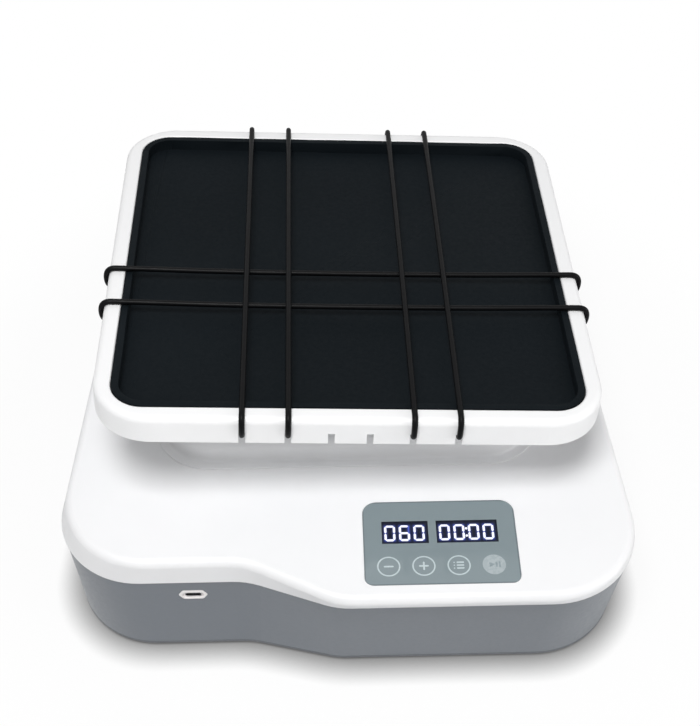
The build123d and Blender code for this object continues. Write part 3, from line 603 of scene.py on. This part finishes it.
# %% Route of one loop
cord_radius = 1.5 * millimetre
cord_gap = 0.1 * millimetre
crossing_lift = 1.55 * millimetre
cord_rest = rim_top + cord_radius + cord_gap
cord_high = cord_rest + crossing_lift
cord_low = cord_rest - crossing_lift
cord_outer = tray_half + cord_radius + cord_gap
cord_hook = 18.9 * millimetre
cord_behind = 121.6 * millimetre
front_notches = (30.7 * millimetre, 53.2 * millimetre)
side_notches = (13.6 * millimetre, 41.7 * millimetre)


def loop_route(first, second, level, flat):
    """Points of an endless loop that runs front to back at two distances from the middle."""
    over_rim = tray_half - rim_width
    down = [(flat, level), (over_rim, cord_rest), (cord_outer, cord_rest)]
    down += [(cord_outer, cord_hook), (cord_behind, cord_hook)]
    front_out = [(first, -y, z) for y, z in down]
    front_back = [(second, -y, z) for y, z in reversed(down)]
    back_out = [(second, y, z) for y, z in down]
    back_back = [(first, y, z) for y, z in reversed(down)]
    return front_out + front_back + back_out + back_back


def make_loop(name, route, turn):
    """Elastic loop along a route, turned about the tray's middle and leant with the tray."""
    start_clean()
    curve = bpy.data.curves.new(name, "CURVE")
    curve.dimensions = "3D"
    curve.bevel_depth = cord_radius
    curve.bevel_resolution = 5
    curve.resolution_u = 14
    spline = curve.splines.new("NURBS")
    spline.points.add(len(route) - 1)
    for point, place in zip(spline.points, route):
        point.co = (*place, 1.0)
    spline.order_u = 3
    spline.use_cyclic_u = True
    cord = bpy.data.objects.new(name, curve)
    bpy.context.scene.collection.objects.link(cord)
    bpy.context.view_layer.objects.active = cord
    cord.select_set(True)
    bpy.ops.object.convert(target="MESH")
    cord = bpy.context.object
    bpy.ops.object.shade_smooth()
    settle(cord, name, "elastic", "tray", tray_place @ Matrix.Rotation(turn, 4, "Z"))
    return cord


# %% Three loops
crossing_reach = 46.0 * millimetre
side_reach = 58.0 * millimetre
inner, outer = front_notches
near, far = side_notches
loops = {
    "left": (-outer, -inner, cord_high, crossing_reach, 0.0, "elastic_loop_left"),
    "right": (inner, outer, cord_high, crossing_reach, 0.0, "elastic_loop_right"),
    "across": (-far, -near, cord_low, side_reach, pi / 2, "elastic_loop_side"),
}
for side, (*course, turn, node) in loops.items():
    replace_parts(make_loop(f"cord_{side}", loop_route(*course), turn), node)

# %% [markdown]
# ## Symbols on the touch panel
# Four round touch spots are printed on the panel: a minus, a plus, a list for the mode, and a
# filled disc that starts and stops. Print has almost no thickness, so each symbol is a
# film of ink a few hundredths of a millimetre thick, standing on the panel. The rings are a filled
# circle whose middle is inset and taken out, then pushed up to give the film its thickness.

# %% Ink finishes
inks = {
    "ink_pale": ((0.52, 0.60, 0.62), (0.49, 0.57, 0.595)),
    "ink_disc": ((0.365, 0.42, 0.44), (0.36, 0.415, 0.435)),
    "ink_grey": ((0.245, 0.30, 0.32), (0.235, 0.29, 0.31)),
}
for name, (light, dark) in inks.items():
    finishes[name] = moulded(name, light, dark, (0.24, 0.30), 4000.0, 0.000002, 60.0, 0.6)

# %% Ink tools
panel_z = 82.5 * millimetre
ink_thickness = 0.06 * millimetre
touch_y = -143.0 * millimetre
touch_x = [(20.0 + 17.7 * k) * millimetre for k in range(4)]
ring_radius = 5.85 * millimetre
ring_width = 0.72 * millimetre


def thicken(height):
    """Push the flat faces being edited up, so that they become a closed film."""
    bpy.ops.mesh.select_all(action="SELECT")
    bpy.ops.mesh.extrude_region_move(TRANSFORM_OT_translate={"value": (0.0, 0.0, height)})
    bpy.ops.mesh.select_all(action="SELECT")
    bpy.ops.mesh.normals_make_consistent(inside=False)
    bpy.ops.object.mode_set(mode="OBJECT")


def flat_shape(x, y, radius, corners=96, level=0.0, turn=0.0):
    """Filled circle or polygon on the panel, left in edit mode with all of it selected."""
    start_clean()
    place = (x, y, panel_z + level)
    bpy.ops.mesh.primitive_circle_add(vertices=corners, radius=radius, fill_type="NGON", location=place)
    shape = bpy.context.object
    shape.rotation_euler.z = turn
    bpy.ops.object.transform_apply(location=False, rotation=True, scale=False)
    bpy.ops.object.mode_set(mode="EDIT")
    bpy.ops.mesh.select_all(action="SELECT")
    return shape


def ink_ring(x, y, radius, width):
    """Printed ring."""
    ring = flat_shape(x, y, radius)
    bpy.ops.mesh.inset(thickness=width)
    bpy.ops.mesh.delete(type="FACE")
    thicken(ink_thickness)
    return ring


def ink_disc(x, y, radius):
    """Printed disc."""
    disc = flat_shape(x, y, radius)
    thicken(ink_thickness)
    return disc


def ink_bar(x, y, length, width, level=0.0):
    """Printed bar with round ends, along X when length is the longer side."""
    start_clean()
    bpy.ops.mesh.primitive_plane_add(size=1.0, location=(x, y, panel_z + level))
    bar = bpy.context.object
    bar.scale = (length, width, 1.0)
    bpy.ops.object.transform_apply(location=False, rotation=False, scale=True)
    bpy.ops.object.mode_set(mode="EDIT")
    bpy.ops.mesh.select_all(action="SELECT")
    bpy.ops.mesh.bevel(offset=0.48 * min(length, width), segments=6, affect="VERTICES")
    thicken(ink_thickness)
    return bar


def ink_triangle(x, y, radius, level):
    """Printed triangle that points right."""
    triangle = flat_shape(x, y, radius, corners=3, level=level, turn=-pi / 2)
    bpy.ops.mesh.bevel(offset=0.12 * radius, segments=4, affect="VERTICES")
    thicken(ink_thickness)
    return triangle


# %% Rings and symbols
stroke = 0.9 * millimetre
sign_length = 4.9 * millimetre
row_length = 3.8 * millimetre
row_pitch = 1.7 * millimetre
row_shift = 0.7 * millimetre
dot_shift = -2.4 * millimetre
dot_radius = 0.36 * millimetre

rings = [ink_ring(x, touch_y, ring_radius, ring_width) for x in touch_x[:3]]
settle(join(rings), "touch_rings", "ink_pale", "base")
minus = [ink_bar(touch_x[0], touch_y, sign_length, stroke)]
half_upright = (sign_length - stroke) / 2
upright_shift = (sign_length + stroke) / 4
plus = [
    ink_bar(touch_x[1], touch_y, sign_length, stroke),
    ink_bar(touch_x[1], touch_y + upright_shift, stroke, half_upright),
    ink_bar(touch_x[1], touch_y - upright_shift, stroke, half_upright),
]
row_y = [touch_y + k * row_pitch for k in (-1, 0, 1)]
rows = [ink_bar(touch_x[2] + row_shift, y, row_length, stroke) for y in row_y]
dots = [ink_disc(touch_x[2] + dot_shift, y, dot_radius) for y in row_y]
settle(join(minus + plus + rows + dots), "touch_symbols", "ink_pale", "base")

# %% Start and stop disc
arrow_shift = -1.5 * millimetre
arrow_radius = 1.7 * millimetre
pause_shifts = (1.2 * millimetre, 2.8 * millimetre)
pause_length = 3.2 * millimetre
start_x = touch_x[3]

settle(ink_disc(start_x, touch_y, ring_radius), "start_disc", "ink_disc", "base")
arrow = ink_triangle(start_x + arrow_shift, touch_y, arrow_radius, ink_thickness)
pauses = [ink_bar(start_x + x, touch_y, stroke, pause_length, ink_thickness) for x in pause_shifts]
settle(join([arrow] + pauses), "start_symbols", "ink_grey", "base")

# %% [markdown]
# ## Floor, world and lights
# The machine stands on a seamless white sweep. For the lamps the floor is a matt white that
# bounces light back up. For the camera most of it is white with a painted shadow: it is darkened
# only where something stands close by, the Ambient Occlusion node measures that, and its power keeps
# the painted shadow dark at the base and short. Further out the floor is the picture's white background.

# %% Floor
start_clean()
bpy.ops.mesh.primitive_plane_add(size=8.0, location=(0.0, 0.0, 0.0))
floor = bpy.context.object
floor.name = "floor"
fade_start = 0.20
fade_end = 0.30
shadow_reach = 17.0 * millimetre
shadow_power = 2.2
plain_share = 0.88


def make_floor_material():
    """White that the camera sees with a painted shadow under the machine and plain white far from it."""
    material = bpy.data.materials.new("studio_floor")
    material.use_nodes = True
    tree = material.node_tree
    tree.nodes.clear()
    place = add(tree, "TexCoord").outputs["Object"]
    distance = add(tree, "VectorMath", {0: place}, operation="LENGTH").outputs["Value"]
    fade = {"Value": distance, "From Min": fade_start, "From Max": fade_end}
    fade = add(tree, "MapRange", fade, interpolation_type="SMOOTHSTEP").outputs["Result"]
    # Painted shadow: the emission is darker where something stands close by
    corner = add(tree, "AmbientOcclusion", {"Distance": shadow_reach}, samples=16)
    shade = add(tree, "Math", {0: corner.outputs["AO"], 1: shadow_power}, operation="POWER")
    shade = add(tree, "Math", {0: shade.outputs[0], 1: fade}, operation="MAXIMUM")
    tone = mix_colours(tree, shade.outputs[0], grey(0.06), grey(1.0))
    rays = add(tree, "LightPath")
    matt = add(tree, "BsdfDiffuse", {"Color": grey(0.93)})
    plain = add(tree, "Emission", {"Color": tone, "Strength": 1.0})
    share = {"Value": fade, "To Min": plain_share, "To Max": 1.0}
    share = add(tree, "MapRange", share).outputs["Result"]
    seen = add(tree, "Math", {0: rays.outputs["Is Camera Ray"], 1: share}, operation="MULTIPLY")
    both = add(tree, "MixShader", {0: seen.outputs[0], 1: matt.outputs[0], 2: plain.outputs[0]})
    add(tree, "OutputMaterial", {"Surface": both.outputs[0]})
    return material


floor.data.materials.append(make_floor_material())

# %% World
world = bpy.data.worlds.new("studio")
bpy.context.scene.world = world
world.use_nodes = True
tree = world.node_tree
tree.nodes.clear()
rays = add(tree, "LightPath")
seen = rays.outputs["Is Camera Ray"]
for kind in ("Is Glossy Ray", "Is Transmission Ray"):
    seen = add(tree, "Math", {0: seen, 1: rays.outputs[kind]}, operation="MAXIMUM").outputs[0]
room = add(tree, "Background", {"Color": grey(1.0), "Strength": 0.30})
white = add(tree, "Background", {"Color": grey(1.0), "Strength": 1.0})
both = add(tree, "MixShader", {0: seen, 1: room.outputs[0], 2: white.outputs[0]})
add(tree, "OutputWorld", {"Surface": both.outputs[0]})
bpy.context.scene.view_settings.view_transform = "Standard"

# %% [markdown]
# One large soft lamp hangs over the machine, a little in front and to the left, and a weaker
# one fills from the right. Large lamps give the broad, soft shadow that the tray throws on
# the base.


# %% Lamps
def soft_lamp(name, place, target, size, power):
    """Square area lamp that faces a point."""
    data = bpy.data.lights.new(name, "AREA")
    data.size = size
    data.energy = power
    lamp = bpy.data.objects.new(name, data)
    bpy.context.scene.collection.objects.link(lamp)
    lamp.location = place
    lamp.rotation_euler = (Vector(target) - Vector(place)).to_track_quat("-Z", "Y").to_euler()
    return lamp


aim = (0.0, 0.0, 50.0 * millimetre)
soft_lamp("top_lamp", (-0.16, -0.56, 1.52), aim, 0.5, 17.3)
soft_lamp("fill_lamp", (1.1, -0.45, 0.38), aim, 0.6, 3.2)
